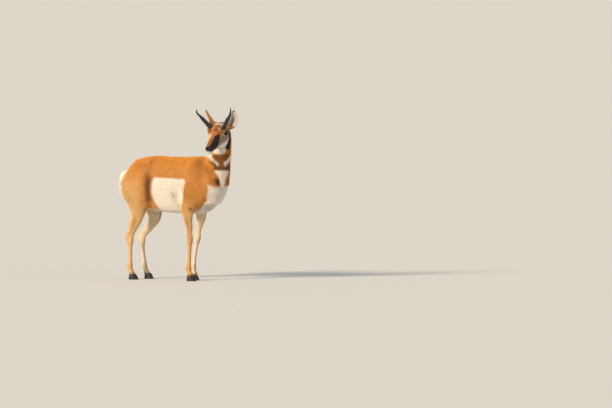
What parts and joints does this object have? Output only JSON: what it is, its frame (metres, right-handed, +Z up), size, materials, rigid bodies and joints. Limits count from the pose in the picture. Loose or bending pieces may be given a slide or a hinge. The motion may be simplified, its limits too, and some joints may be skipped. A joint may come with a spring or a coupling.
{
  "type": "pronghorn",
  "caption": "Life-size pronghorn standing still with its head turned to its right, with short pronged horns, upright ears, tan and white coat and cloven hooves.",
  "frame": {"origin": "on the floor, under the middle of the whole animal's bounding box", "axes": "+X the way the body faces, +Y the animal's left, +Z up"},
  "size_m": [1.0208, 0.4274, 1.237],
  "materials": {
    "coat_tan": "short tan hair",
    "coat_white": "short whitish hair",
    "horn": "dark horn, satin",
    "hoof": "dark hoof, satin",
    "eye": "wet and glossy"
  },
  "bodies": {
    "root": {"torso": "coat_tan", "neck": "coat_tan", "tail": "coat_white", "foreleg_right_upper": "coat_tan", "foreleg_right_lower": "coat_tan", "foreleg_right_claw_inner": "hoof", "foreleg_right_claw_outer": "hoof", "foreleg_left_upper": "coat_tan", "foreleg_left_lower": "coat_tan", "foreleg_left_claw_inner": "hoof", "foreleg_left_claw_outer": "hoof", "hindleg_right_upper": "coat_tan", "hindleg_right_lower": "coat_tan", "hindleg_right_claw_inner": "hoof", "hindleg_right_claw_outer": "hoof", "hindleg_left_upper": "coat_tan", "hindleg_left_lower": "coat_tan", "hindleg_left_claw_inner": "hoof", "hindleg_left_claw_outer": "hoof", "head": "coat_white", "eye_left": "eye", "ear_left": "coat_tan", "horn_left": "horn", "eye_right": "eye", "ear_right": "coat_tan", "horn_right": "horn"}
  },
  "joints": []
}
